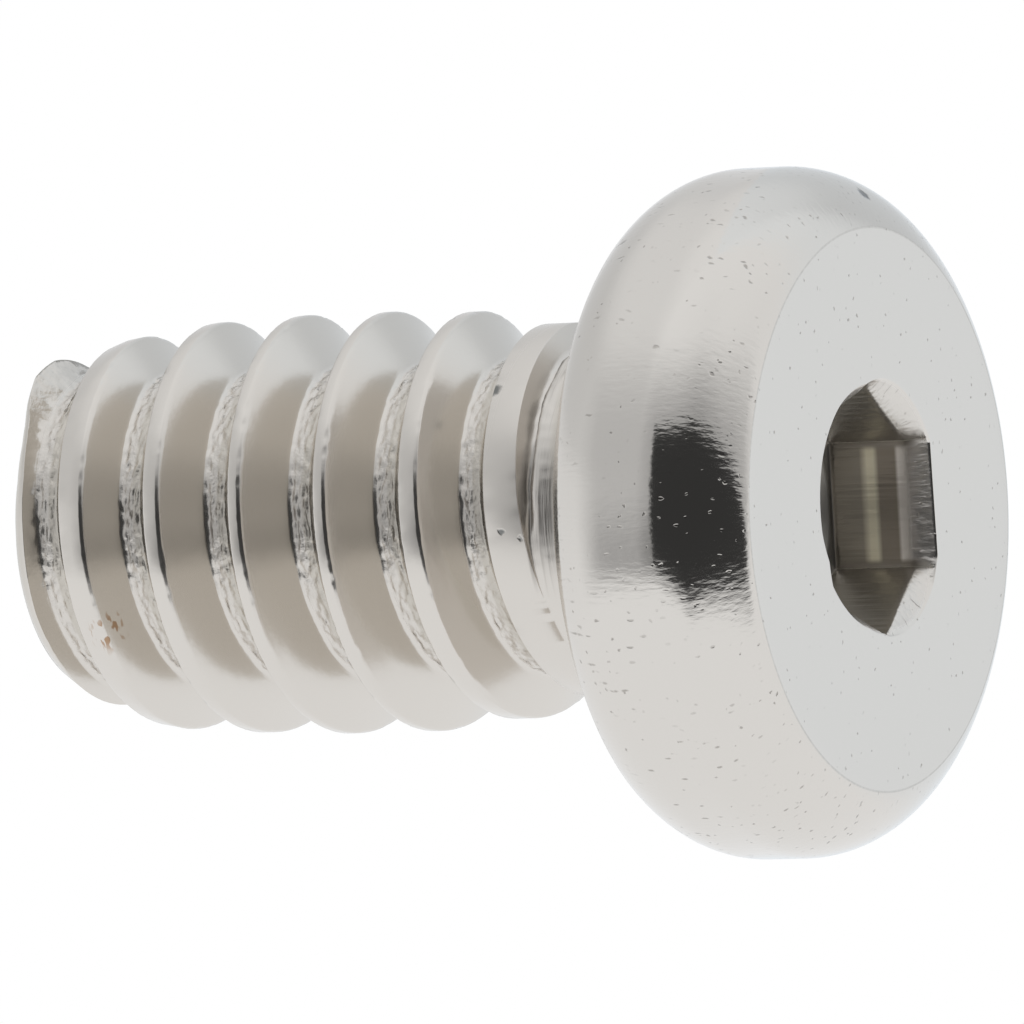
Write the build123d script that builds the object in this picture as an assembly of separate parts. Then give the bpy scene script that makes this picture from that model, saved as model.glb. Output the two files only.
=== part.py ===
from build123d import *
import math
import os

# Low head socket cap screw standing on its head: flat face on z = 0, thread pointing up.
# Lengths in millimetres, angles in degrees.

# thread, 24 turns to the inch, right hand
PITCH = 25.4 / 24
MAJOR_D = 4.60
FLANK = 30.0
CREST_SHARE = 1 / 8
ROOT_SHARE = 1 / 4
ROOT_EASE = 0.085
CREST_AT = 0.609
LENGTH = 7.65

# point of the shank
POINT_D = 3.40
POINT_CHAMFER = 0.22
LEAD = 0.73
LEAD_DROP = 0.18
TAPER = 1.78
TAPER_DROP = 0.04
TAPER_FROM = 2.84

# run-out of the thread, measured from the underside of the head
BLANK_D = 3.96
FADE_FROM = 3.00
FADE_STEP_AT = 2.16
FADE_STEP_R = 2.18
FADE_HOLD_AT = 1.63
FADE_HOLD_R = 2.10
FADE_TO = 0.69
GROOVE_FROM = 1.40
NECK_FILLET = 0.23

# head
HEAD_D = 7.48
HEAD_H = 2.16
SHOULDER_DROP = 0.69
SHOULDER_R = 1.08
SHOULDER_BREAK = 0.035
LOWER_DROP = 0.30
LOWER_R = 1.00
LOWER_BREAK = 0.07

# hex socket
SOCKET_AF = 2.381
SOCKET_DEPTH = 1.20
SOCKET_CONE = 130.0
MOUTH_D = 2.80
MOUTH_ANGLE = 45.0

major_r = MAJOR_D / 2
blank_r = BLANK_D / 2
point_r = POINT_D / 2
tan_flank = math.tan(math.radians(FLANK))
root_r = major_r - PITCH * (1 - CREST_SHARE - ROOT_SHARE) / 2 / tan_flank
tip_z = HEAD_H + LENGTH


def lathe(*points):
    return revolve(make_face(Plane.XZ * Polyline(*points, close=True)), Axis.Z)


def half_width(r):
    return PITCH * CREST_SHARE / 2 + (major_r - r) * tan_flank


# ridge: straight flanks rising a little past the crest, foot eased into the root
proud_r = major_r + PITCH * CREST_SHARE / 4 / tan_flank
ease_r = root_r + ROOT_EASE
sunk_r = root_r - ROOT_EASE
foot = half_width(ease_r)
spread = min(PITCH * 0.48, foot + (ease_r - sunk_r) * 0.9)
half_section = [(sunk_r, spread), (ease_r, foot), (proud_r, half_width(proud_r))]
section_points = half_section + [(r, -w) for r, w in reversed(half_section)]
section = make_face(Plane.XZ * Polyline(*section_points, close=True))
turn = sweep(section, path=Helix(pitch=PITCH, height=PITCH, radius=major_r), is_frenet=True)

# envelope: what the blank leaves of the crest, fading to the neck and tapering to the point
chamfer_r = point_r + POINT_CHAMFER
inside_z = HEAD_H * 0.6
envelope = lathe(
    (0, inside_z),
    (blank_r, inside_z),
    (blank_r, HEAD_H + FADE_TO),
    (FADE_HOLD_R, HEAD_H + FADE_HOLD_AT),
    (FADE_STEP_R, HEAD_H + FADE_STEP_AT),
    (major_r, HEAD_H + FADE_FROM),
    (major_r, tip_z - TAPER_FROM),
    (major_r - TAPER_DROP, tip_z - TAPER),
    (major_r - LEAD_DROP, tip_z - LEAD),
    (chamfer_r, tip_z - POINT_CHAMFER),
    (point_r, tip_z),
    (0, tip_z),
)
first_turn = math.floor((HEAD_H - CREST_AT) / PITCH)
last_turn = math.ceil((tip_z + PITCH / 2 - CREST_AT) / PITCH)
turns = []
for n in range(first_turn, last_turn):
    piece = (Pos(0, 0, CREST_AT + n * PITCH) * turn) & envelope
    if piece.volume > 1e-6:
        turns.append(piece)

# core: root cylinder, swelling to the blank diameter where the groove runs out
core = lathe(
    (0, inside_z),
    (blank_r, inside_z),
    (blank_r, HEAD_H + FADE_TO),
    (root_r, HEAD_H + GROOVE_FROM),
    (root_r, tip_z - (root_r - point_r)),
    (point_r, tip_z),
    (0, tip_z),
)
shank = core + turns

# head: flat face, round shoulder, short band, round lower edge, neck fillet
head_r = HEAD_D / 2
face_r = head_r - SHOULDER_DROP
lower_face_r = head_r - LOWER_DROP
shoulder_h = math.sqrt(SHOULDER_R**2 - (SHOULDER_R - SHOULDER_DROP) ** 2)
lower_h = math.sqrt(LOWER_R**2 - (LOWER_R - LOWER_DROP) ** 2)
neck_r = blank_r - 0.02
neck_z = HEAD_H + NECK_FILLET


def bulge(centre_r, centre_z, radius, r, z):
    mid = math.atan2(z - centre_z, r - centre_r) / 2
    return (centre_r + radius * math.cos(mid), centre_z + radius * math.sin(mid))


shoulder_c = (head_r - SHOULDER_R, shoulder_h)
lower_c = (head_r - LOWER_R, HEAD_H - lower_h)
neck_mid = NECK_FILLET * (1 - math.sqrt(0.5))
outline = Polyline((0, HEAD_H), (0, 0), (face_r, 0))
outline += ThreePointArc((face_r, 0), bulge(*shoulder_c, SHOULDER_R, face_r, 0), (head_r, shoulder_h))
outline += Line((head_r, shoulder_h), (head_r, HEAD_H - lower_h))
outline += ThreePointArc(
    (head_r, HEAD_H - lower_h),
    bulge(*lower_c, LOWER_R, lower_face_r, HEAD_H),
    (lower_face_r, HEAD_H),
)
outline += Line((lower_face_r, HEAD_H), (blank_r + NECK_FILLET, HEAD_H))
outline += ThreePointArc(
    (blank_r + NECK_FILLET, HEAD_H),
    (blank_r + neck_mid, HEAD_H + neck_mid),
    (blank_r, neck_z),
)
outline += Polyline((blank_r, neck_z), (neck_r, neck_z), (0, HEAD_H))
profile = make_face(Plane.XZ * outline)


def corner(r, z):
    return sorted(profile.vertices(), key=lambda v: (v.X - r) ** 2 + (v.Z - z) ** 2)[0]


profile = fillet(corner(face_r, 0), SHOULDER_BREAK)
profile = fillet(corner(lower_face_r, HEAD_H), LOWER_BREAK)
head = revolve(profile, Axis.Z)

# socket: hexagon with flats across y, cone bottom, conical mouth
apothem = SOCKET_AF / 2
hexagon = RegularPolygon(radius=apothem, side_count=6, major_radius=False)
cone_h = apothem / math.tan(math.radians(SOCKET_CONE / 2))
mouth_r = MOUTH_D / 2
mouth_h = mouth_r / math.tan(math.radians(MOUTH_ANGLE))
socket = extrude(hexagon, SOCKET_DEPTH)
socket += Pos(0, 0, SOCKET_DEPTH) * Cone(apothem, 0, cone_h, align=(Align.CENTER, Align.CENTER, Align.MIN))
socket += Cone(mouth_r, 0, mouth_h, align=(Align.CENTER, Align.CENTER, Align.MIN))

screw = head + shank - socket
screw.label = "screw"

os.makedirs("parts", exist_ok=True)
export_step(screw, "parts/screw.step")
box = screw.bounding_box()
print("screw", "solids", len(screw.solids()), "valid", screw.is_valid, "faces", len(screw.faces()))
print("volume mm3", round(screw.volume, 3), "size", [round(v, 4) for v in (box.size.X, box.size.Y, box.size.Z)])
print("z", round(box.min.Z, 5), round(box.max.Z, 5))
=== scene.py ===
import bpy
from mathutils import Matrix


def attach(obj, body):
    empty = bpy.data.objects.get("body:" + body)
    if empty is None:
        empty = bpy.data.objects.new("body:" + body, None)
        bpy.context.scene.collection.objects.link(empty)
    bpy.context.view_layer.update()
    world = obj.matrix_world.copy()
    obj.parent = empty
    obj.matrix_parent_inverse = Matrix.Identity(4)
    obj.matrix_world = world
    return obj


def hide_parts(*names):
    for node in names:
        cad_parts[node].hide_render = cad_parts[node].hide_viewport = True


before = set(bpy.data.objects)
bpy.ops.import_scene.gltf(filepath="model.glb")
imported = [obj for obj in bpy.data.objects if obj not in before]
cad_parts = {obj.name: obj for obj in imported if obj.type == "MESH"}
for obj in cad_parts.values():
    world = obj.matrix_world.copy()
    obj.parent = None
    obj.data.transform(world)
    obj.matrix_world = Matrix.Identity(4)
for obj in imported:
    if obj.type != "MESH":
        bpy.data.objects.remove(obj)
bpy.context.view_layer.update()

import math

import bpy
import numpy as np
from mathutils import Matrix

mm = 0.001
columns = 288                     # one every 1.25 degrees, a whole number on each flat of the hexagon
turnAngles = np.arange(columns) * 2 * math.pi / columns
print("frame loaded")

# Lengths in millimetres on the CAD part's own axes: flat face on z = 0, thread pointing up. A list whose
# name ends in Z or Angle holds the places, and the next one the values there, straight between them.
shank = {
    "pitch": 25.4 / 24, "crestRadius": 2.30, "flankAngle": 30.0, "crestAt": 0.609,
    "levelZ": (3.45, 3.54, 3.60, 3.79, 4.32, 4.85, 5.38, 6.97, 7.50, 8.03, 8.55, 9.08, 9.40, 9.65, 9.85, 10.0),
    "levelR": (1.98, 2.055, 2.08, 2.10, 2.18, 2.265, 2.30, 2.30, 2.262, 2.26, 2.20, 2.12, 2.00, 1.90, 1.94, 2.08),
    "coreZ": (3.255, 3.29, 3.60, 3.85, 9.80), "coreR": (1.98, 1.90, 1.78, 1.7272, 1.7272),
    # a shallow waist next to the head, on the side that faces the camera
    "waist": 0.036, "waistFrom": 3.12, "waistOver": 0.15,
    "waistAngle": (-80, -60, 12, 32), "waistShare": (0, 1, 1, 0),
    "crestRound": {-1: 0.054, 1: 0.03}, "rootRound": 0.09,   # -1 is the flank that faces the head
    "flankMost": 0.45, "flatMost": 0.9,   # the most of a flank and of half a flat that a rounding takes
    "slopeZ": (6, 7, 9.0, 9.3), "slopeShare": (0, 1, 1, 0),   # where the crest follows the taper across its width
    "roundZ": (3.9, 4.5, 9.1, 9.5), "roundShare": (0.2, 1, 1, 0.06),
    "from": 2.80, "to": 9.79, "length": 9.81,
    # rows of the point's end face: two of their own radius, then four as far inside its rim and below it
    "endRadii": (0.6, 1.2), "endInset": (0.05, 0.025, 0.009, 0.001), "endDrop": (0, 0, 0, 0.0005, 0.003, 0.008),
    "rimDrop": 0.005,
    "front": 87.4,                # degrees from the side that faces the camera back to the x axis
    "wander": 0.05, "wanderFrom": 3.4, "wanderOver": 1.6,   # the rolled helix isn't quite true
    # end radius round the point: the last turn stands proud of the chamfer on the upper front
    "endAngle": (-180, -120, -90, -75, -70, -64, -57, -48, -41, -34, -20, 0, 40, 100, 180),
    "endRadius": (1.70, 1.70, 1.83, 1.97, 2.02, 2.04, 2.055, 1.95, 1.83, 1.76, 1.69, 1.665, 1.68, 1.70, 1.70),
    "shiftAngle": (-125, -90, -70, -57, -45, -30), "shiftBy": (0, 0.018, 0.056, 0.034, 0.014, 0), "shiftFrom": 9.75,
    # the last turn's flank isn't quite filled
    "raggedAngle": (-105, -90, -40, -27, 25, 45), "raggedShare": (0, 1, 1, 0.35, 0.35, 0),
    "ragged": 0.012, "raggedRooting": 0.7,
    "burrOver": 0.04, "burr": 0.0035, "rolling": 0.006, "rollFrom": 3.4, "rollOver": 0.4, "seed": 7,
    # rows of half a turn from the groove to the crest: their places, and how much of the burr, the rolling
    # and the root's finish each has; the flank toward the point starts three rows past the crest's middle
    "floorRows": (0.0, 0.3, 0.58, 0.82), "flankRows": (0.06, 0.5, 0.94),
    "burrAlong": (1.0, 1.0, 0.8, 0.4, 0.0), "burrDown": (0.0, 0.5, 1.0, 0.6, 0.0),
    "rootRolling": (1.0, 0.8, 0.4, 0.0, 0.0),
    "rooting": (1, 1, 1, 1, 0.9, 0.6, 0.25, 0.05, 0, 0, 0, 0, 0, 0, 0, 0, 0), "tipwardFrom": 3,
    "offset": (0.0475, 0.0022),   # the forged head sits a little off the shank's axis
}
head = {
    "radius": 3.74, "height": 2.16, "shoulderDrop": 0.69, "shoulderRadius": 1.08,
    "shoulderBreak": 0.035, "lowerDrop": 0.30, "lowerRadius": 1.00, "lowerBreak": 0.07,
    "neckRadius": 1.98, "neckFrom": 2.6, "neckFillet": 0.23, "neckRows": 7,
    "underRows": (2.45, 2.8, 3.15, 3.34), "lowerRows": 13, "bandRows": (0.25, 0.5, 0.75), "shoulderRows": 34,
    "breakRows": 5,
}
socket = {
    "acrossFlats": 2.381, "depth": 1.20, "coneAngle": 130.0, "cornerGather": 0.153, "edge": 0.003,
    "upward": 2.6,                # angle of the photograph's up side; the mouth's own angles start there
    "rimAngle": (-180, -164.9, -139.6, -124.6, -113.9, -100, -80.5, -65.2, -55.4, -38.8, -25.3,
                 -9, 6, 20, 60, 115, 125, 145, 160, 175, 180),
    "rimRadius": (1.34, 1.316, 1.37, 1.412, 1.339, 1.385, 1.404, 1.42, 1.42, 1.418, 1.396,
                  1.375, 1.42, 1.43, 1.42, 1.42, 1.45, 1.435, 1.41, 1.37, 1.34),
    # the flat that faces the camera is broached deeper
    "backRim": 1.28, "backLean": 0.072, "backDepth": 0.27, "backLeast": 0.5,
    "mouthDepth": 0.06, "mouthBack": 0.16, "mouthUp": 0.055, "leastDepth": 0.03, "frontSteep": 1.2,
    # rows from the face's edge to the rim as radius and share of the gathering, then as shares of each slope
    "faceRows": ((2.85, 0), (2.5, 0.25), (2.1, 0.55), (1.75, 0.85), (1.52, 1)),
    "mouthRows": (0.0, 0.06, 0.35, 0.65, 0.94), "wallRows": (0.02, 0.1, 0.3, 0.5, 0.7, 0.85, 0.95, 0.99),
    "coneRows": (0, 0.04, 0.25, 0.5, 0.75, 0.9), "footInset": 0.008, "coneInset": 0.009,
}


# A circle's arc as (r, z): centre + radius * (cos, sin), angles in degrees from the r axis toward z.
def arc(centre, radius, fromAngle, toAngle, count):
    t = np.radians(np.linspace(fromAngle, toAngle, count))
    return np.stack([centre[0] + radius * np.cos(t), centre[1] + radius * np.sin(t)], 1)


# A rounded corner: the quadratic curve from corner + reach * one way to corner + reach * the other way.
def bend(corner, oneWay, otherWay, reach, count=5):
    t = np.linspace(0, 1, count)[:, None]
    return [(1 - t) ** 2 * (c + reach * a) + 2 * t * (1 - t) * c + t ** 2 * (c + reach * b)
            for c, a, b in zip(corner, oneWay, otherWay)]


# Random numbers along the last axis, each the mean of its neighbours, brought back to a spread of 1.
def unevenness(random, shape, width):
    raw = random.standard_normal(shape)
    kernel = np.hanning(width + 2)
    smooth = np.apply_along_axis(np.convolve, -1, raw, kernel, "same")
    return smooth / math.sqrt((kernel ** 2).sum())


# The thread as rows that follow the helix: row k of a turn is the same place of its section all the
# way round. The crest is level at the radius of its own place, cut by a 45 degree chamfer at the point,
# and the root lies on the core, so the ridge dies out where they meet.
def threadRows(s):
    pitch, slope = s["pitch"], math.tan(math.radians(s["flankAngle"]))
    halfCrest = pitch / 16
    turns = np.arange(math.floor((s["from"] - s["crestAt"]) / pitch) - 1,
                      math.ceil((s["to"] - s["crestAt"]) / pitch) + 1)
    fromFront = turnAngles + math.radians(s["front"])
    centre = s["crestAt"] + pitch * (turns[:, None] + turnAngles / (2 * math.pi))
    wander = s["wander"] * (1 - np.cos(fromFront) - np.sin(fromFront))
    centre = centre + wander * np.clip((centre - s["wanderFrom"]) / s["wanderOver"], 0, 1)
    seen = (180 - np.degrees(fromFront)) % 360 - 180
    centre = centre - np.interp(seen, s["shiftAngle"], s["shiftBy"]) * (centre > s["shiftFrom"])
    slopes = np.interp(centre, s["slopeZ"], s["slopeShare"])
    level = np.interp(centre, s["levelZ"], s["levelR"])
    chamfer = np.interp(seen, s["endAngle"], s["endRadius"]) + s["length"] + 0 * centre
    rims = []
    for z in (s["to"], s["length"] - s["rimDrop"]):
        near = np.abs(z - centre).argmin(0)
        ridge = s["crestRadius"] - (np.abs(z - centre).min(0) - halfCrest) / slope
        ridge = np.minimum(ridge, np.take_along_axis(level, near[None], 0)[0])
        rims.append(np.minimum(np.maximum(ridge, s["coreR"][-1]), chamfer[0] - z))
    ragged = np.interp(seen, s["raggedAngle"], s["raggedShare"]) * (centre > s["shiftFrom"])
    centre, slopes, chamfer, ragged = [a.reshape(1, -1) for a in (centre, slopes, chamfer, ragged)]
    envelope = lambda p: np.minimum(np.interp(centre + p * slopes, s["levelZ"], s["levelR"]), chamfer - centre - p)
    waist = s["waist"] * np.tile(np.interp(seen, s["waistAngle"], s["waistShare"]), len(turns))
    narrowed = lambda z: waist * np.clip((s["waistFrom"] - z) / s["waistOver"], 0, 1)
    core = lambda p: np.minimum(np.interp(centre + p, s["coreZ"], s["coreR"]) - narrowed(centre + p),
                                chamfer - centre - p)
    upright = lambda title: np.array(s[title])[:, None]
    share = np.interp(centre, s["roundZ"], s["roundShare"])
    random = np.random.default_rng(s["seed"])
    halves = {}
    for side in (-1, 1):
        burr = s["burr"] * share * unevenness(random, centre.shape, 2)
        rolling = s["rolling"] * unevenness(random, (8, centre.shape[1]), 2)
        rolling = rolling * np.clip((centre - s["rollFrom"]) / s["rollOver"], 0, 1)
        edge, foot = 0 * centre, 0 * centre
        for _ in range(8):            # each moves with the radius that it meets, and soon settles
            edge = side * (halfCrest + (s["crestRadius"] - envelope(edge)) * slope)
            foot = side * (halfCrest + (s["crestRadius"] - core(foot)) * slope)
        edge = side * np.minimum(np.abs(edge), np.abs(foot))
        high, low = np.maximum(envelope(edge), core(edge)), core(foot)
        flank = np.hypot(high - low, foot - edge) + 1e-9
        burr = burr * np.clip((high - low) / s["burrOver"], 0, 1)
        down = ((foot - edge) / flank, (low - high) / flank)
        reach = np.minimum(share * s["crestRound"][side] * slope, s["flankMost"] * flank)
        reach = np.minimum(reach, s["flatMost"] * np.abs(edge))
        crestP, crestR = bend((edge, high), (-side, 0), down, reach)
        reach = np.minimum(s["rootRound"] * slope, s["flankMost"] * flank)
        reach = np.minimum(reach, s["flatMost"] * (pitch / 2 - np.abs(foot)))
        rootP, rootR = bend((foot, low), (side, 0), (-down[0], -down[1]), reach)
        unfilled = s["ragged"] * ragged * np.abs(rolling[5:8] / s["rolling"])
        flankP = rootP[-1] + (crestP[-1] - rootP[-1]) * upright("flankRows")
        flankR = rootR[-1] + (crestR[-1] - rootR[-1]) * upright("flankRows") - unfilled
        floorP = side * pitch / 2 + (rootP[0] - side * pitch / 2) * upright("floorRows")
        floorR = core(floorP) + rolling[1:5]
        rootR = rootR + rolling[5:6] * upright("rootRolling")
        crestP = crestP + burr * upright("burrAlong")
        crestR = crestR - np.abs(burr) * upright("burrDown")
        halves[side] = (np.concatenate([floorP, rootP, flankP, crestP[::-1]]),
                        np.concatenate([floorR, rootR, flankR, crestR[::-1]]))
    (headP, headR), (tipP, tipR) = halves[-1], halves[1]
    ridgeP = (headP[-1:] + tipP[-1:]) / 2
    p = np.concatenate([headP, ridgeP, tipP[:0:-1]])
    r = np.concatenate([headR, np.maximum(envelope(ridgeP), core(ridgeP)), tipR[:0:-1]])
    rooting = np.array((*s["rooting"], 0, *s["rooting"][:0:-1]))[:, None]
    rooting = np.minimum(rooting + ragged * s["raggedRooting"], 1)
    perTurn = len(p)
    tipward = (np.arange(perTurn) > perTurn // 2 + s["tipwardFrom"])[:, None] + 0 * p
    unroll = lambda a: a.reshape(perTurn, len(turns), columns).transpose(1, 0, 2).reshape(-1, columns)
    z, r, rooting, tipward = unroll(centre + p), unroll(r), unroll(rooting), unroll(tipward)
    r = np.where(z > s["to"], rims[0], r)
    r = np.where(z < s["from"], s["coreR"][0] - waist[:columns], r)
    rooting = np.where(z > s["to"], 0, rooting * np.clip((z - s["rollFrom"]) / s["rollOver"], 0, 1))
    marks = {"rooting": rooting[::-1], "tipward": tipward[::-1]}
    return r[::-1], np.clip(z, s["from"], s["to"])[::-1], marks, rims[1], perTurn


# Half section of the head from the neck over the underside, the round edges and the band to the flat face.
def headRows(h):
    shoulderZ = math.sqrt(h["shoulderRadius"] ** 2 - (h["shoulderRadius"] - h["shoulderDrop"]) ** 2)
    lowerZ = h["height"] - math.sqrt(h["lowerRadius"] ** 2 - (h["lowerRadius"] - h["lowerDrop"]) ** 2)
    shoulderC = (h["radius"] - h["shoulderRadius"], shoulderZ)
    lowerC = (h["radius"] - h["lowerRadius"], lowerZ)
    fillet = h["neckFillet"]
    neck = arc((h["neckRadius"] + fillet, h["height"] + fillet), fillet, 180, 270, h["neckRows"])
    under = np.array([(r, h["height"]) for r in h["underRows"]])
    small = h["lowerBreak"]
    smallZ = h["height"] - small
    smallR = lowerC[0] + math.sqrt((h["lowerRadius"] - small) ** 2 - (smallZ - lowerZ) ** 2)
    turn = math.degrees(math.atan2(smallZ - lowerZ, smallR - lowerC[0]))
    lower = [arc((smallR, smallZ), small, 90, turn, h["breakRows"]),
             arc(lowerC, h["lowerRadius"], turn, 0, h["lowerRows"])[1:]]
    band = np.array([(h["radius"], lowerZ + (shoulderZ - lowerZ) * t) for t in h["bandRows"]])
    small = h["shoulderBreak"]
    smallR = shoulderC[0] + math.sqrt((h["shoulderRadius"] - small) ** 2 - (small - shoulderZ) ** 2)
    turn = math.degrees(math.atan2(small - shoulderZ, smallR - shoulderC[0]))
    shoulder = [arc(shoulderC, h["shoulderRadius"], 0, turn, h["shoulderRows"]),
                arc((smallR, small), small, turn, -90, h["breakRows"])[1:]]
    return np.concatenate([neck, under, *lower, band, *shoulder])


# The flat face and the hexagon: radius = apothem / cos(angle from the nearest flat's middle), columns
# gathered toward the corners, a mouth from the rim down to the wall and a conical bottom.
def socketRows(k):
    apothem = k["acrossFlats"] / 2
    gathered = turnAngles - k["cornerGather"] * np.sin(6 * turnAngles)
    fromUp = (np.degrees(gathered) - k["upward"] + 180) % 360 - 180
    fromFlat = (gathered % (math.pi / 3)) - math.pi / 6
    backFlat = np.abs(np.degrees(gathered) - 90) < 30
    rim = np.interp(fromUp, k["rimAngle"], k["rimRadius"])
    upShare, backShare = np.cos(np.radians(fromUp)), np.sin(np.radians(fromUp))
    straight = k["backRim"] / (np.maximum(backShare, k["backLeast"]) + k["backLean"] * upShare)
    rim = np.where(backFlat, np.minimum(straight, rim), rim)
    small = k["edge"]
    wall = np.minimum(apothem / np.cos(fromFlat), rim - 4 * small)
    deep = k["mouthDepth"] + wall * (k["mouthBack"] * backShare + k["mouthUp"] * upShare)
    deep = np.maximum(deep, np.where(backShare < 0, k["frontSteep"] * (rim - wall), 0))
    deep = np.where(backFlat, k["backDepth"], np.maximum(deep, k["leastDepth"]))
    bottom = apothem / math.tan(math.radians(k["coneAngle"] / 2))
    face = [(r + 0 * wall, 0 * wall, share) for r, share in k["faceRows"]]
    face += [(rim + 12 * small, 0 * wall, 1), (rim + 4 * small, 0 * wall, 1), (rim + small, 0 * wall + small / 2, 1)]
    mouth = [(rim - small + (wall - rim + small) * t, 2 * small + (deep - 2 * small) * t, 1)
             for t in k["mouthRows"]]
    walls = [(wall, deep + (k["depth"] - deep) * t, 1) for t in k["wallRows"]]
    foot = [(wall - k["footInset"], k["depth"] + 0 * wall, 1)]
    cone = [((apothem - k["coneInset"]) * (1 - t) + 0 * wall, k["depth"] + bottom * t + 0 * wall, 1)
            for t in k["coneRows"]]
    rows = face + mouth + walls + foot + cone
    radius, z, share = [np.array(part) for part in zip(*rows)]
    return radius, z, turnAngles + (gathered - turnAngles) * share[:, None], k["depth"] + bottom


# The whole screw as one closed grid, from the middle of the point down the shank, over the head and
# into the socket. The thread's part of the grid is sheared by one pitch, so its seam steps down a turn.
def buildScrew():
    threadR, threadZ, threadMarks, rim, perTurn = threadRows(shank)
    latheRows = np.concatenate([[(head["neckRadius"], head["neckFrom"])], headRows(head)])
    faceR, faceZ, faceAngle, apex = socketRows(socket)
    spread = lambda column: np.repeat(np.array(column)[:, None], columns, 1)
    end = shank["length"]
    endR = np.concatenate([spread(shank["endRadii"]), rim - spread(shank["endInset"])])
    endZ = end - spread(shank["endDrop"])
    radius = np.concatenate([endR, threadR, spread(latheRows[:, 0]), faceR])
    z = np.concatenate([endZ, threadZ, spread(latheRows[:, 1]), faceZ])
    angle = np.concatenate([0 * endR + turnAngles, 0 * threadR + turnAngles,
                            spread(0 * latheRows[:, 0]) + turnAngles, faceAngle])
    first, last = len(endR), len(endR) + len(threadR)
    marks = {title: np.zeros_like(radius) for title in threadMarks}
    for title in marks:
        marks[title][first:last] = threadMarks[title]
    x, y = radius * np.cos(angle), radius * np.sin(angle)
    shifted = last + 1 + head["neckRows"]
    x[:shifted] += shank["offset"][0]
    y[:shifted] += shank["offset"][1]
    points = np.stack([x, y, z], 2).reshape(-1, 3)
    points = np.concatenate([points, [(*shank["offset"], end), (0, 0, apex)]])
    marks = {title: np.concatenate([values.reshape(-1), [0, 0]]) for title, values in marks.items()}
    total = len(radius)
    number = np.arange(total * columns).reshape(total, columns)
    partner = np.arange(total)
    partner[first:last] = np.maximum(np.arange(first, last) - perTurn, first)
    nextOver = np.concatenate([number[:, 1:], number[partner, :1]], 1)
    quads = np.stack([number[:-1], number[1:], nextOver[1:], nextOver[:-1]], 2).reshape(-1, 4)
    top, bottom = total * columns, total * columns + 1
    fans = np.concatenate([np.stack([number[0], nextOver[0], 0 * number[0] + top], 1),
                           np.stack([nextOver[-1], number[-1], 0 * number[0] + bottom], 1)])
    return mergedMesh("screw", points, quads, fans, marks)


# Points that fall on each other become one, and a quad that loses a corner becomes a triangle.
def mergedMesh(name, points, quads, triangles, attributes):
    _, kept, place = np.unique(np.round(points, 6), axis=0, return_index=True, return_inverse=True)
    place = place.reshape(-1)
    quads, triangles = place[quads], place[triangles]
    same = quads == np.roll(quads, -1, 1)
    whole = quads[~same.any(1)]
    once = same.sum(1) == 1
    gap = np.argmax(same[once], 1)
    corners = (gap[:, None] + np.array([1, 2, 3])) % 4
    thin = np.take_along_axis(quads[once], corners, 1)
    thin = np.concatenate([thin, triangles])
    thin = thin[(thin[:, 0] != thin[:, 1]) & (thin[:, 1] != thin[:, 2]) & (thin[:, 2] != thin[:, 0])]
    mesh = bpy.data.meshes.new(name)
    mesh.from_pydata((points[kept] * mm).tolist(), [], whole.tolist() + thin.tolist())
    for title, marks in attributes.items():
        mesh.attributes.new(title, "FLOAT", "POINT").data.foreach_set("value", marks[kept].astype(np.float32))
    mesh.validate()
    mesh.shade_smooth()
    piece = bpy.data.objects.new(name, mesh)
    bpy.context.scene.collection.objects.link(piece)
    return piece


screw = buildScrew()
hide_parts("screw")
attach(screw, "root")
print("screw built,", len(screw.data.polygons), "faces")


# One socket of a node tree, so that shader maths reads as maths.
class Value:
    def __init__(self, graph, output):
        self.graph, self.output = graph, output

    def maths(self, operation, *others):
        return self.graph.node("ShaderNodeMath", {"operation": operation}, dict(enumerate((self, *others))))

    def __add__(self, other): return self.maths("ADD", other)
    def __radd__(self, other): return self.maths("ADD", other)
    def __mul__(self, other): return self.maths("MULTIPLY", other)
    def __rmul__(self, other): return self.maths("MULTIPLY", other)
    def __sub__(self, other): return self.maths("SUBTRACT", other)
    def __truediv__(self, other): return self.maths("DIVIDE", other)
    def __pow__(self, other): return self.maths("POWER", other)

    def __rsub__(self, other):
        return self.graph.node("ShaderNodeMath", {"operation": "SUBTRACT"}, {0: other, 1: self})

    # 0 below low, 1 above high, with a soft step between
    def step(self, low, high):
        return self.graph.node("ShaderNodeMapRange", {"interpolation_type": "SMOOTHSTEP"},
                               {"Value": self, "From Min": low, "From Max": high})


class Graph:
    def __init__(self, tree):
        self.tree = tree
        tree.nodes.clear()

    def node(self, kind, settings=None, inputs=None, output=0):
        made = self.tree.nodes.new(kind)
        for name, setting in (settings or {}).items():
            if name == "stops":
                ramp = made.color_ramp
                while len(ramp.elements) < len(setting):
                    ramp.elements.new(0.5)
                for element, (at, level) in zip(ramp.elements, setting):
                    element.position = at
                    element.color = (level, level, level, 1) if isinstance(level, (int, float)) else (*level, 1)
            else:
                setattr(made, name, setting)
        for name, value in (inputs or {}).items():
            if isinstance(value, Value):
                self.tree.links.new(value.output, made.inputs[name])
            else:
                made.inputs[name].default_value = value
        return Value(self, made.outputs[output]) if len(made.outputs) else None

    def dot(self, direction, fixed):
        return self.node("ShaderNodeVectorMath", {"operation": "DOT_PRODUCT"}, {0: direction, 1: fixed}, "Value")

    def mix(self, factor, first, second):
        return self.node("ShaderNodeMix", {"data_type": "RGBA"}, {0: factor, 6: first, 7: second}, 2)


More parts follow.
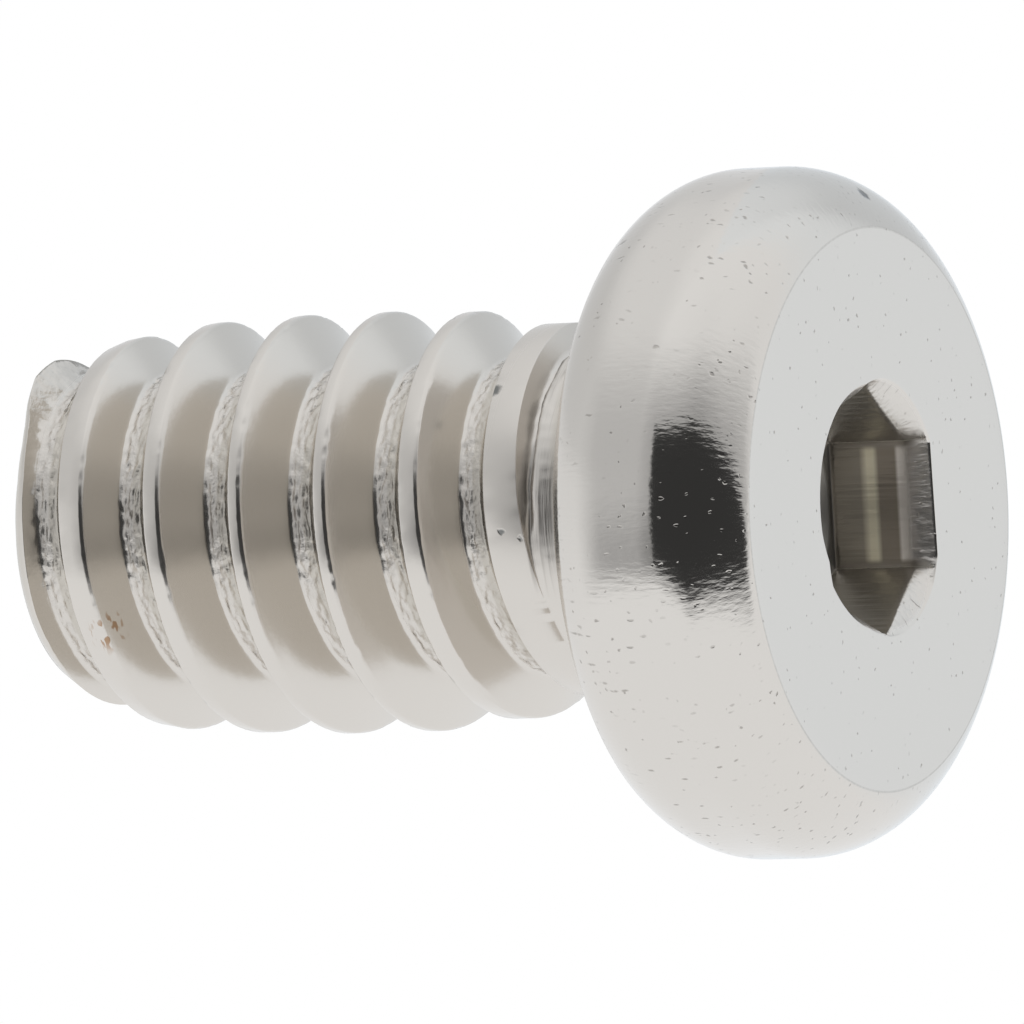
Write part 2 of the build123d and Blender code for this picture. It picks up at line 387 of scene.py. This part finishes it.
# Camera as fitted to the photograph: below the head's level, rolled so that the screw lies level. Its
# place is in millimetres, its clip distances are in metres.
camera = {
    "place": (7.494, -162.587, -83.676), "lens": 597.0, "sensor": 36.0, "near": 0.01, "far": 10.0,
    "right": (-0.05648, 0.47403, -0.87869), "up": (0.99761, 0.06195, -0.0307),
    "back": (0.03988, -0.87832, -0.4764),
}


def buildCamera(c):
    data = bpy.data.cameras.new("photoView")
    data.lens, data.sensor_width = c["lens"], c["sensor"]
    data.clip_start, data.clip_end = c["near"], c["far"]
    view = bpy.data.objects.new("photoView", data)
    view.matrix_world = Matrix([(*[c[axis][k] for axis in ("right", "up", "back")], c["place"][k] * mm)
                                for k in range(3)] + [(0, 0, 0, 1)])
    bpy.context.scene.collection.objects.link(view)
    bpy.context.scene.camera = view


buildCamera(camera)
print("camera placed")

# The light tent: white all round, greyer toward the upper back and around the dark opening that the
# camera looks through. Azimuth runs to the right of the camera and elevation up, in degrees.
tent = {
    "dark": 0.044, "tint": (0.955, 0.975, 1.0), "sideTint": (0.93, 0.98, 1.03), "sideFrom": 90, "sideTo": 115,
    "sideLow": -25, "sideHigh": -8,
    "topEdge": ((-180, 28), (-34, 27), (10, 28), (30, 22), (60, 10), (76, 1), (90, -20), (180, -20)),
    "bottomEdge": ((-180, 16), (-38, 16), (-10, 22), (0, 25), (15, 21), (45, 14), (70, 8), (76, 4), (90, -20),
                   (180, -20)),
    "leftEdge": -38, "edgeSoftness": 1.5,
    "halo": 0.56, "haloAbove": 34, "haloTop": 4, "haloBelow": 9, "haloBottom": 2, "haloLeft": 60, "haloRight": 2,
    "haloMost": 1.22, "haloLess": 0.4, "haloFrom": -14, "haloTo": 8,
    "greyBand": ((-180, 0.22), (-150, 0.27), (-128, 0.27), (-98, 0.25), (-83, 0.2), (-68, 0.12), (-55, 0),
                 (20, 0.13), (45, 0.07), (97, 0.04), (120, 0.05), (126, 0.12), (133, 0.26), (160, 0.25),
                 (180, 0.22)),
    "bandHeight": ((-90, 0), (-24, 0), (-12, 0.15), (-2, 0.3), (6, 0.4), (14, 0.95), (20, 1), (34, 1),
                   (40, 0.85), (46, 0.6), (54, 0.42), (64, 0.33), (74, 0.12), (90, 0.05)),
}


def buildTent(t):
    world = bpy.data.worlds.new("lightTent")
    bpy.context.scene.world = world
    world.use_nodes = True
    g = Graph(world.node_tree)
    direction = g.node("ShaderNodeTexCoord", output="Generated")
    side = g.dot(direction, camera["right"])
    rise = g.dot(direction, camera["up"])
    front = g.dot(direction, camera["back"])
    azimuth = side.maths("ARCTAN2", front) * (180 / math.pi)
    elevation = rise.maths("ARCSINE") * (180 / math.pi)

    # a curve over azimuth or elevation as a ramp, with values kept between -scale and scale
    def curve(stops, place, span, scale):
        stops = [(a / span + 0.5, 0.5 + v / scale / 2) for a, v in stops]
        ramp = g.node("ShaderNodeValToRGB", {"stops": stops}, {"Fac": place / span + 0.5})
        return (ramp - 0.5) * (2 * scale)

    soft, left = t["edgeSoftness"], t["leftEdge"]
    above = curve(t["topEdge"], azimuth, 360, 90) - elevation
    below = curve(t["bottomEdge"], azimuth, 360, 90) + elevation
    opening = above.step(-soft, soft) * below.step(-soft, soft) * azimuth.step(left - soft, left + soft)
    halo = (above.step(-t["haloAbove"], t["haloTop"]) * below.step(-t["haloBelow"], t["haloBottom"])
            * azimuth.step(left - t["haloLeft"], left + t["haloRight"]))
    halo = halo * (t["haloMost"] - elevation.step(t["haloFrom"], t["haloTo"]) * t["haloLess"])
    band = curve(t["greyBand"], azimuth, 360, 1) * curve(t["bandHeight"], elevation, 180, 1)
    light = 1 - halo * t["halo"] - band
    level = light + (t["dark"] - light) * opening
    seen = g.node("ShaderNodeLightPath", output="Is Camera Ray")
    toSide = azimuth.step(t["sideFrom"], t["sideTo"]) * elevation.step(t["sideLow"], t["sideHigh"])
    tint = g.mix(toSide, (*t["tint"], 1), (*t["sideTint"], 1))
    colour = g.mix(seen, tint, (1, 1, 1, 1))
    strength = level + (1 - level) * seen
    shown = g.node("ShaderNodeBackground", None, {"Color": colour, "Strength": strength})
    g.node("ShaderNodeOutputWorld", None, {"Surface": shown})


buildTent(tent)

# Plated steel: a warm bright nickel over a forged head and a rolled thread. Lengths and heights in
# millimetres, scales in marks to the millimetre. A pair whose name ends in Fade is a low and a high value,
# between which something begins.
plating = {
    "colour": (0.70, 0.665, 0.62), "paintedShadeAndGrime": (0.26, 0.24, 0.21), "roughness": 0.10,
    # the flanks that face the point take a darker copy of the thread's colour, a painted shade
    "threadColour": (0.695, 0.655, 0.605), "paintedTipwardShade": (0.60, 0.56, 0.50), "threadRoughness": 0.2,
    "shankFade": (2.05, 2.2), "roundFade": (0.004, 0.04),   # heights at which the shank and the round edge begin
    "streakRound": 70, "streakAlong": 5, "streakHeight": 0.0022,
    "mottleScale": 7, "mottleHeight": 0.0014,
    "rollScale": 8, "rollHeight": 0.02, "rollRoughness": 0.1, "rollDark": 0.3,
    # pits and dashes: denser in patches, and round the socket
    "shakeScale": 12, "shake": 0.08, "bendScale": 9, "bend": 0.8, "spotCore": 0.5, "spotReach": 1.3,
    "pitScale": 9, "pitSize": 0.16, "pitShare": 0.42, "pitHeight": 0.003, "pitDark": 0.6, "shareFade": 0.05,
    "dashRound": 38, "dashAlong": 4, "dashSize": 0.18, "dashShare": 0.46,
    "patchScale": 1.3, "patchFade": (0.4, 0.58), "patchLeast": 0.2, "outerFade": (1.6, 2.5), "innerMore": 0.4,
    # the arris: a painted shade in a dark line round the flat face's edge, broken up by the streaks
    "arrisRadius": 3.045, "arrisWidth": 0.02, "arrisFade": (0.02, 0.04), "paintedArrisShade": 0.5,
    # turning marks on the neck, and a painted shade along the crease beside it, on the side of x where the
    # photograph has them
    "neckFade": (2.2, 2.3), "runOutFade": (3.12, 3.35), "neckSideFade": (-0.8, -0.4),
    "turning": 26, "turningRound": 1.2, "turningHeight": 0.006, "turningFade": (0.5, 0.75), "turningDark": 0.4,
    "creaseAt": 3.25, "creaseFade": (0.005, 0.035), "creaseSideFade": (-0.75, -0.35), "paintedCreaseShade": 0.6,
    "threadFade": (3.6, 3.95), "runOutRoughness": 0.12,
    # single marks: place, radius, shade
    "dents": (((3.405, 0.50, 0.24), 0.12, (0.14, 0.14, 0.14)), ((1.504, -1.49, 3.817), 0.09, (0.2, 0.2, 0.19)),
              ((0.0, -2.04, 3.555), 0.05, (0.28, 0.28, 0.27)), ((-0.07, -1.99, 3.33), 0.06, (0.28, 0.28, 0.27))),
    "markCore": 0.35, "dentHeight": 0.007,
    "stain": ((-0.96, -1.86, 8.55), 0.3, (0.42, 0.28, 0.18)),
    "stainRound": 8, "stainAlong": 30, "stainFade": (0.54, 0.62),
    # the socket from its rim inwards and from the face down; the colour inside it is a painted shade
    "rimFade": (1.38, 1.46), "mouthFade": (0.008, 0.03), "wallFade": (0.1, 0.24), "footFade": (1.14, 1.2),
    "broachScale": 14, "broachAlong": 0.6, "broachHeight": 0.012, "socketRoughness": 0.22,
    "paintedSocketShading": (0.65, 0.625, 0.58),
    # its back wall by depth, in painted reflection and shade: grey, brown painted shade, a yellowish strip of
    # painted highlight, brown painted shade; its ends by the square of x, in painted shade
    "backFade": (1.12, 1.17), "sideFade": (0.462, 0.474), "endFade": (0.33, 0.43), "paintedShadeAtWallEnds": (0.37, 0.34, 0.31),
    "wallDepth": (0.24, 0.28, 0.37, 0.41, 0.61, 0.67, 0.75, 0.84, 1.13, 1.17),
    "paintedWallShading": ((0.60, 0.56, 0.53), (0.94, 0.90, 0.88), (0.94, 0.90, 0.88), (0.37, 0.33, 0.29),
                  (0.37, 0.33, 0.29), (0.95, 0.90, 0.74), (0.95, 0.90, 0.74), (0.42, 0.39, 0.35),
                  (0.42, 0.39, 0.35), (0.36, 0.33, 0.30)),
}


def buildPlating(p):
    material = bpy.data.materials.new("platedSteel")
    material.use_nodes = True
    g = Graph(material.node_tree)
    place = g.node("ShaderNodeVectorMath", {"operation": "SCALE"},
                   {0: g.node("ShaderNodeTexCoord", output="Object"), "Scale": 1 / mm})
    x, y, z = [g.node("ShaderNodeSeparateXYZ", None, {0: place}, axis) for axis in ("X", "Y", "Z")]
    out = (x * x + y * y) ** 0.5
    rooting = g.node("ShaderNodeAttribute", {"attribute_name": "rooting"}, output="Fac")
    tipward = g.node("ShaderNodeAttribute", {"attribute_name": "tipward"}, output="Fac")
    noise = lambda at, scale, detail=2, output=0: g.node(
        "ShaderNodeTexNoise", None, {"Vector": at, "Scale": scale, "Detail": detail}, output)
    vector = lambda a, b, c: g.node("ShaderNodeCombineXYZ", None, {0: a, 1: b, 2: c})
    onHead = 1 - z.step(*p["shankFade"])
    offFace = z.step(*p["roundFade"])
    inSocket = (1 - out.step(*p["rimFade"])) * z.step(*p["mouthFade"]) * onHead
    inside = inSocket * z.step(*p["wallFade"])
    streaks = noise(vector(x / out * p["streakRound"], y / out * p["streakRound"], (z + out) * p["streakAlong"]), 1)
    broaching = noise(vector(x * p["broachScale"], y * p["broachScale"], z * p["broachAlong"]), 1)
    mottle = noise(place, p["mottleScale"], 3)
    rolled = noise(place, p["rollScale"], 3)
    shaken = g.node("ShaderNodeVectorMath", {"operation": "MULTIPLY_ADD"},
                    {0: noise(place, p["shakeScale"], 2, 1), 1: (p["shake"],) * 3, 2: place})

    # spots round some points of a cell pattern: pits, and dashes where the pattern is drawn out
    def scattered(at, scale, size, share):
        away = g.node("ShaderNodeTexVoronoi", None, {"Vector": at, "Scale": scale}, "Distance")
        lot = g.node("ShaderNodeSeparateColor", None,
                     {0: g.node("ShaderNodeTexVoronoi", None, {"Vector": at, "Scale": scale}, "Color")})
        blot = 1 - away.step(size * p["spotCore"], size * p["spotReach"])
        return blot * (1 - lot.step(share - p["shareFade"], share))

    bent = noise(place, p["bendScale"], 1) * p["bend"]
    drawnOut = vector(x / out * p["dashRound"] + bent, y / out * p["dashRound"] + bent, (z + out) * p["dashAlong"])
    spots = scattered(shaken, p["pitScale"], p["pitSize"], p["pitShare"])
    dashes = scattered(drawnOut, 1, p["dashSize"], p["dashShare"]) * offFace
    patch = (noise(place, p["patchScale"], 2).step(*p["patchFade"]) * (1 - p["patchLeast"]) + p["patchLeast"]
             + (1 - out.step(*p["outerFade"])) * p["innerMore"]).maths("MINIMUM", 1)
    pit = spots.maths("MAXIMUM", dashes) * patch * onHead * (1 - inside)
    # ring round the flat face's edge that takes the painted shade of the arris
    arris = (1 - (out - p["arrisRadius"]).maths("ABSOLUTE").step(0, p["arrisWidth"])) * (1 - z.step(*p["arrisFade"]))

    # 1 at a mark's place, 0 outside its radius; the shaken place lies half a shake further on all axes
    def spot(mark):
        away = g.node("ShaderNodeVectorMath", {"operation": "DISTANCE"},
                      {0: shaken, 1: tuple(c + p["shake"] / 2 for c in mark[0])}, "Value")
        return 1 - away.step(mark[1] * p["markCore"], mark[1])

    neck = z.step(*p["neckFade"]) * (1 - z.step(*p["runOutFade"])) * x.step(*p["neckSideFade"])
    # painted shade along the crease where the neck steps down to the thread's core
    crease = (z - p["creaseAt"]).maths("ABSOLUTE").step(*p["creaseFade"])
    crease = (1 - crease) * x.step(*p["creaseSideFade"])
    turned = noise(vector(x * p["turningRound"], y * p["turningRound"], z * p["turning"]), 1, 2)
    dents = [spot(mark) for mark in p["dents"]]
    ragged = noise(vector(x * p["stainRound"], y * p["stainRound"], z * p["stainAlong"]), 1, 1)
    stain = spot(p["stain"]) * ragged.step(*p["stainFade"])
    height = (streaks * p["streakHeight"] * onHead * offFace * (1 - inSocket) + mottle * p["mottleHeight"]
              + broaching * p["broachHeight"] * inSocket * (1 - z.step(*p["footFade"]))
              + rolled * p["rollHeight"] * rooting - pit * p["pitHeight"]
              + turned * p["turningHeight"] * neck - sum(dents[1:], dents[0]) * p["dentHeight"])
    normal = g.node("ShaderNodeBump", None, {"Height": height, "Distance": mm})
    speckle = ((rolled - 0.5) * 2 * p["rollDark"] * rooting).maths("MAXIMUM", 0)
    # dark marks and painted shade in one mix: the pits, the rolled speckle and the turning marks are real, while the
    # arris line and the crease are painted shade
    paintedShadeAndDirt = (pit * p["pitDark"] + speckle + arris * streaks * p["paintedArrisShade"]
            + neck * turned.step(*p["turningFade"]) * p["turningDark"]
            + crease * p["paintedCreaseShade"]).maths("MINIMUM", 1)
    # the back wall's bands of painted reflection and painted shade by depth, in a darker painted shade toward its
    # ends
    deepest = p["wallDepth"][-1]
    stops = [(depth / deepest, shade) for depth, shade in zip(p["wallDepth"], p["paintedWallShading"])]
    paintedBackWallBands = g.node("ShaderNodeValToRGB", {"stops": stops}, {"Fac": z / deepest})
    onBack = y.step(*p["backFade"]) * (1 - (x * x).step(*p["sideFade"]))
    paintedBackWallBands = g.mix((x * x).step(*p["endFade"]), paintedBackWallBands, (*p["paintedShadeAtWallEnds"], 1))
    # the socket's colour is a painted shade, with the back wall's painted reflections and shade on it
    paintedSocketShading = g.mix(onBack, (*p["paintedSocketShading"], 1), paintedBackWallBands)
    # painted shade: the flanks that face the point are darker than the rest of the thread
    shankShade = g.mix(tipward, (*p["threadColour"], 1), (*p["paintedTipwardShade"], 1))
    plain = g.mix(onHead, shankShade, (*p["colour"], 1))
    colour = g.mix(paintedShadeAndDirt, g.mix(inside, plain, paintedSocketShading), (*p["paintedShadeAndGrime"], 1))
    for mark, share in zip((*p["dents"], p["stain"]), (*dents, stain)):
        colour = g.mix(share, colour, (*mark[2], 1))
    roughness = (rooting * p["rollRoughness"] + inSocket * p["socketRoughness"] + p["roughness"]
                 + (1 - onHead) * (p["threadRoughness"] - p["roughness"])
                 + (1 - onHead) * (1 - z.step(*p["threadFade"])) * p["runOutRoughness"])
    shader = g.node("ShaderNodeBsdfPrincipled", None, {
        "Base Color": colour, "Metallic": 1.0, "Roughness": roughness, "Normal": normal})
    g.node("ShaderNodeOutputMaterial", None, {"Surface": shader})
    return material


screw.data.materials.append(buildPlating(plating))
print("plating made")


# A pale floor that only its upper side shows, since the photograph's view comes from below it.
ground = {"reach": 600, "drop": 0.02, "colour": (0.9, 0.9, 0.9)}


def buildFloor(f):
    reach, level = f["reach"] * mm, -f["drop"] * mm
    corners = [(-reach, -reach, level), (reach, -reach, level), (reach, reach, level), (-reach, reach, level)]
    mesh = bpy.data.meshes.new("floor")
    mesh.from_pydata(corners, [], [(0, 1, 2, 3)])
    floor = bpy.data.objects.new("floor", mesh)
    bpy.context.scene.collection.objects.link(floor)
    material = bpy.data.materials.new("paleFloor")
    material.use_nodes = True
    g = Graph(material.node_tree)
    pale = g.node("ShaderNodeBsdfDiffuse", None, {"Color": (*f["colour"], 1)})
    clear = g.node("ShaderNodeBsdfTransparent")
    behind = g.node("ShaderNodeNewGeometry", output="Backfacing")
    shown = g.node("ShaderNodeMixShader", None, {0: behind, 1: pale, 2: clear})
    g.node("ShaderNodeOutputMaterial", None, {"Surface": shown})
    mesh.materials.append(material)
    floor.visible_glossy = False
    floor.visible_shadow = False


buildFloor(ground)
bpy.context.scene.view_settings.view_transform = "Standard"
print("tent and floor made")
